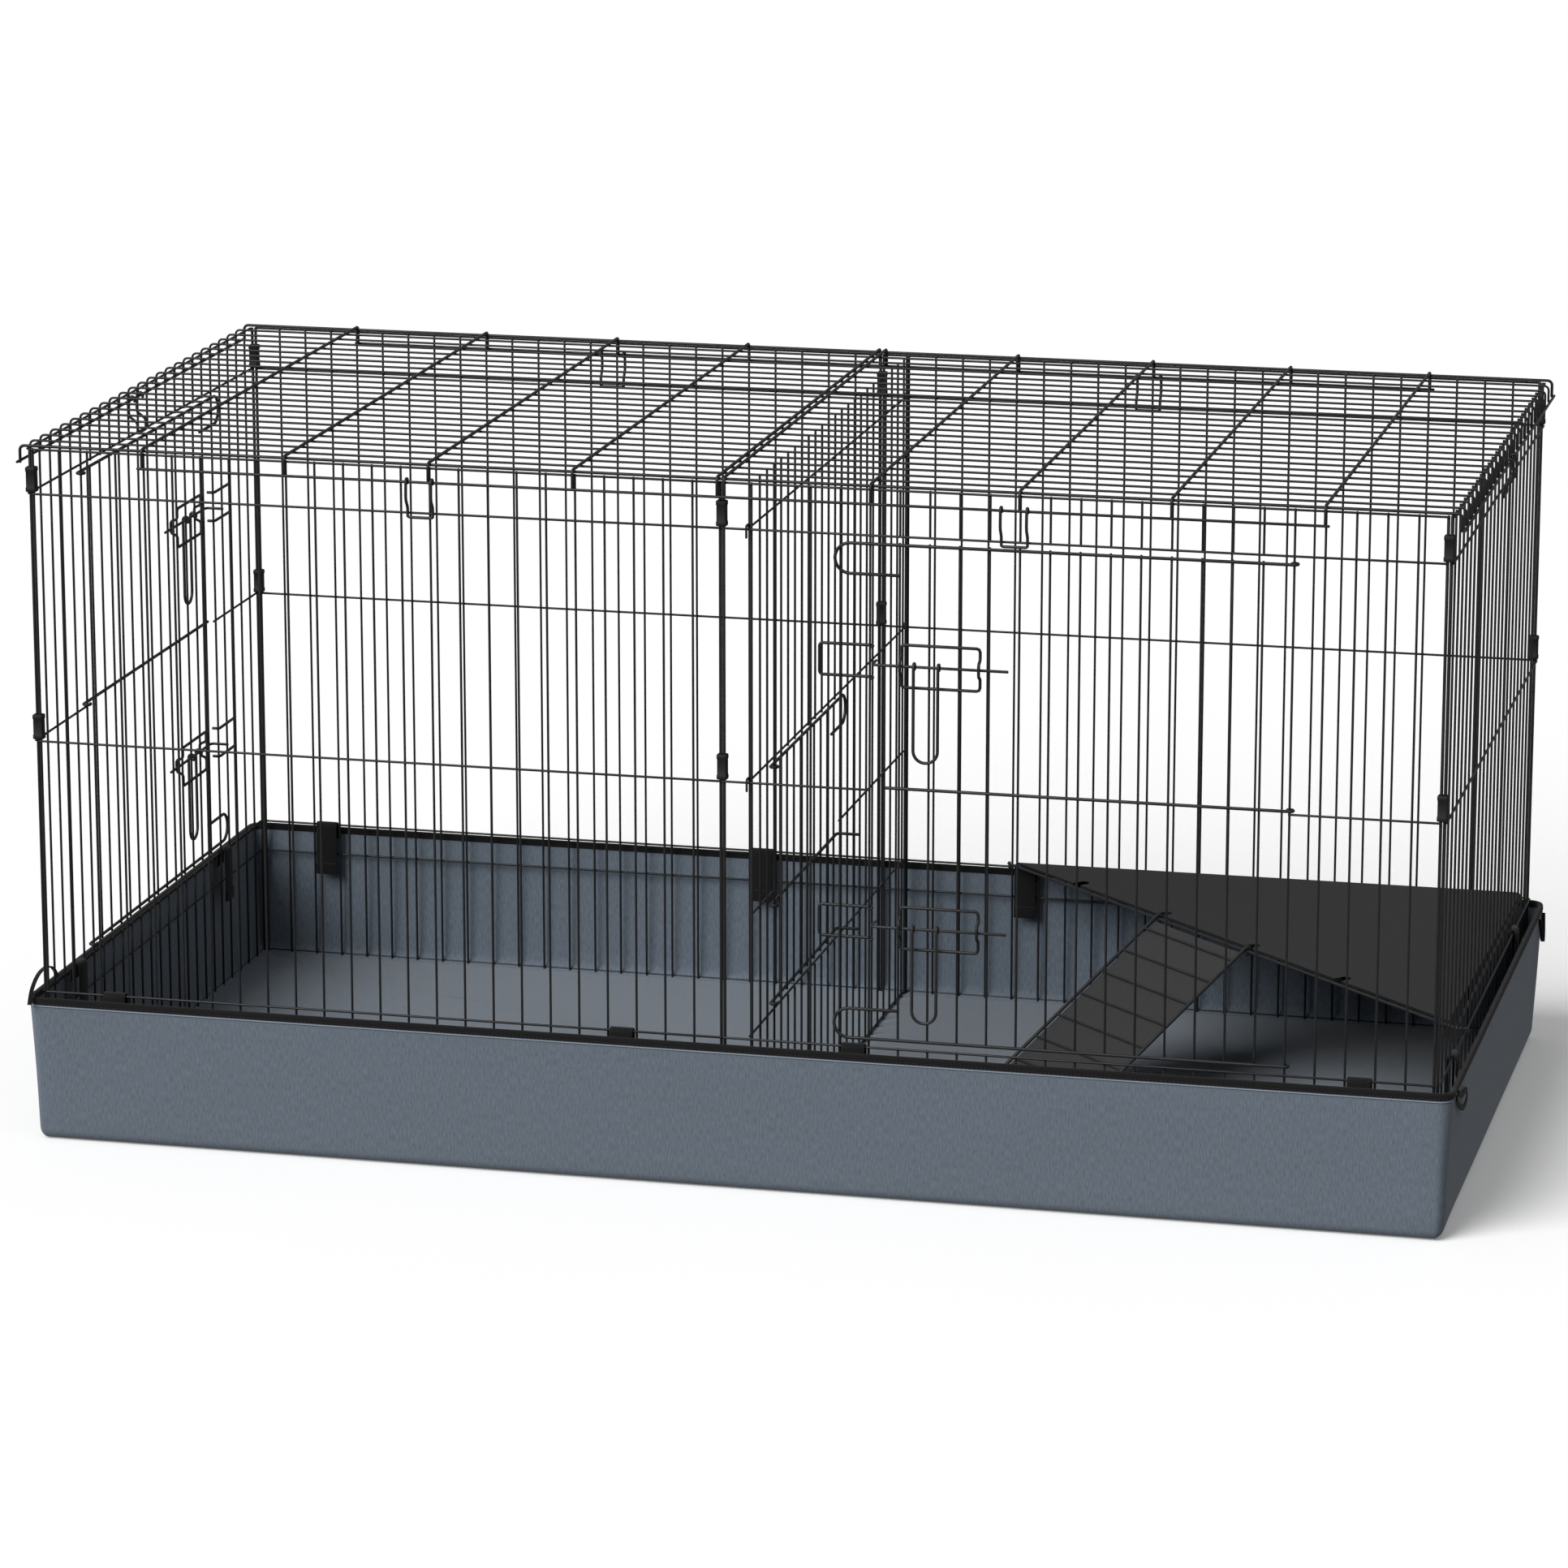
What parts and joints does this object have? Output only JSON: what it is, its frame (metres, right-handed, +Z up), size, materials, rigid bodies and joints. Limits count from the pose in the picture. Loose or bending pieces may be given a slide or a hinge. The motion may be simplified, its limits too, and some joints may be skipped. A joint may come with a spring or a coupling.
{
  "type": "wire rabbit cage",
  "caption": "Long wire rabbit cage in a shallow fabric tray, with a clipped wire lid, latched doors, a divider with its own door, and a corner platform with a ramp.",
  "frame": {"origin": "middle of the tray's underside", "axes": "+X along the length with the front door on the right, +Y from front to back, +Z up"},
  "size_m": [1.2318, 0.6224, 0.6113],
  "materials": {
    "black_wire": "satin black powder coat on steel wire",
    "black_plastic": "matt moulded plastic",
    "grey_fabric": "heathered woven polyester over a stiffener",
    "black_tape": "woven binding tape and webbing",
    "dark_sheet": "dark woven cover"
  },
  "bodies": {
    "cage": {"panel_front_left": "black_wire", "panel_front_right": "black_wire", "panel_back_left": "black_wire", "panel_back_right": "black_wire", "panel_left_end": "black_wire", "panel_right_end": "black_wire", "divider": "black_wire", "connector_front_left_upper": "black_plastic", "connector_front_left_lower": "black_plastic", "connector_front_middle_upper": "black_plastic", "connector_front_middle_lower": "black_plastic", "connector_front_right_upper": "black_plastic", "connector_front_right_lower": "black_plastic", "connector_back_left_upper": "black_plastic", "connector_back_left_lower": "black_plastic", "connector_back_middle_upper": "black_plastic", "connector_back_middle_lower": "black_plastic", "connector_back_right_upper": "black_plastic", "connector_back_right_lower": "black_plastic", "tray": "grey_fabric", "tray_binding": "black_tape", "platform_frame": "black_wire", "platform_sheet": "dark_sheet", "strap_front_1": "black_tape", "strap_front_2": "black_tape", "strap_front_3": "black_tape", "strap_front_4": "black_tape", "strap_back_1": "black_tape", "strap_back_2": "black_tape", "strap_back_3": "black_tape", "strap_back_4": "black_tape", "strap_left_1": "black_tape", "strap_left_2": "black_tape", "strap_right_1": "black_tape", "strap_right_2": "black_tape"},
    "lid": {"lid": "black_wire"},
    "lid_clip_front_left": {"lid_clip_front_left": "black_wire"},
    "lid_clip_front_right": {"lid_clip_front_right": "black_wire"},
    "lid_clip_back_left": {"lid_clip_back_left": "black_wire"},
    "lid_clip_back_right": {"lid_clip_back_right": "black_wire"},
    "lid_clip_left_end": {"lid_clip_left_end": "black_wire"},
    "lid_clip_right_end": {"lid_clip_right_end": "black_wire"},
    "door_front": {"door_front": "black_wire"},
    "bolt_front_upper": {"bolt_front_upper": "black_wire"},
    "handle_front_upper": {"handle_front_upper": "black_wire"},
    "bolt_front_lower": {"bolt_front_lower": "black_wire"},
    "handle_front_lower": {"handle_front_lower": "black_wire"},
    "door_left": {"door_left": "black_wire"},
    "bolt_left_upper": {"bolt_left_upper": "black_wire"},
    "handle_left_upper": {"handle_left_upper": "black_wire"},
    "bolt_left_lower": {"bolt_left_lower": "black_wire"},
    "handle_left_lower": {"handle_left_lower": "black_wire"},
    "door_divider": {"door_divider": "black_wire"},
    "ramp": {"ramp_frame": "black_wire", "ramp_sheet": "dark_sheet"}
  },
  "joints": [
    {"name": "lid_lift", "type": "slide", "parent": "cage", "child": "lid", "axis": [0, 0, 1], "range_m": [0, 0.3]},
    {"name": "lid_clip_front_left_hinge", "type": "hinge", "parent": "lid", "child": "lid_clip_front_left", "pos_m": [-0.257, -0.3068, 0.594], "axis": [-1, 0, 0], "range_deg": [0, 110]},
    {"name": "lid_clip_front_right_hinge", "type": "hinge", "parent": "lid", "child": "lid_clip_front_right", "pos_m": [0.246, -0.3068, 0.594], "axis": [-1, 0, 0], "range_deg": [0, 110]},
    {"name": "lid_clip_back_left_hinge", "type": "hinge", "parent": "lid", "child": "lid_clip_back_left", "pos_m": [-0.256, 0.3068, 0.594], "axis": [1, 0, 0], "range_deg": [0, 110]},
    {"name": "lid_clip_back_right_hinge", "type": "hinge", "parent": "lid", "child": "lid_clip_back_right", "pos_m": [0.245, 0.3068, 0.594], "axis": [1, 0, 0], "range_deg": [0, 110]},
    {"name": "lid_clip_left_end_hinge", "type": "hinge", "parent": "lid", "child": "lid_clip_left_end", "pos_m": [-0.6115, 0, 0.594], "axis": [0, 1, 0], "range_deg": [0, 110]},
    {"name": "lid_clip_right_end_hinge", "type": "hinge", "parent": "lid", "child": "lid_clip_right_end", "pos_m": [0.6115, 0, 0.594], "axis": [0, -1, 0], "range_deg": [0, 110]},
    {"name": "door_front_hinge", "type": "hinge", "parent": "cage", "child": "door_front", "pos_m": [0.475, -0.3, 0.35], "axis": [0, 0, 1], "range_deg": [0, 150]},
    {"name": "bolt_front_upper_slide", "type": "slide", "parent": "door_front", "child": "bolt_front_upper", "axis": [1, 0, 0], "range_m": [0, 0.019]},
    {"name": "handle_front_upper_hinge", "type": "hinge", "parent": "bolt_front_upper", "child": "handle_front_upper", "pos_m": [0.17375, -0.3062, 0.4597], "axis": [-1, 0, 0], "range_deg": [0, 150]},
    {"name": "bolt_front_lower_slide", "type": "slide", "parent": "door_front", "child": "bolt_front_lower", "axis": [1, 0, 0], "range_m": [0, 0.019]},
    {"name": "handle_front_lower_hinge", "type": "hinge", "parent": "bolt_front_lower", "child": "handle_front_lower", "pos_m": [0.17375, -0.3062, 0.237], "axis": [-1, 0, 0], "range_deg": [0, 150]},
    {"name": "door_left_hinge", "type": "hinge", "parent": "cage", "child": "door_left", "pos_m": [-0.6014, -0.175, 0.35], "axis": [0, 0, 1], "range_deg": [0, 150]},
    {"name": "bolt_left_upper_slide", "type": "slide", "parent": "door_left", "child": "bolt_left_upper", "axis": [0, -1, 0], "range_m": [0, 0.019]},
    {"name": "handle_left_upper_hinge", "type": "hinge", "parent": "bolt_left_upper", "child": "handle_left_upper", "pos_m": [-0.6076, 0.12625, 0.4597], "axis": [0, 1, 0], "range_deg": [0, 150]},
    {"name": "bolt_left_lower_slide", "type": "slide", "parent": "door_left", "child": "bolt_left_lower", "axis": [0, -1, 0], "range_m": [0, 0.019]},
    {"name": "handle_left_lower_hinge", "type": "hinge", "parent": "bolt_left_lower", "child": "handle_left_lower", "pos_m": [-0.6076, 0.12625, 0.237], "axis": [0, 1, 0], "range_deg": [0, 150]},
    {"name": "door_divider_hinge", "type": "hinge", "parent": "cage", "child": "door_divider", "pos_m": [0.0237, -0.216, 0.24], "axis": [0, 0, 1], "range_deg": [0, 100]},
    {"name": "ramp_hinge", "type": "hinge", "parent": "cage", "child": "ramp", "pos_m": [0.3376, 0.09824, 0.1344], "axis": [-0.733, 0.6803, 0], "range_deg": [0, 120]}
  ]
}
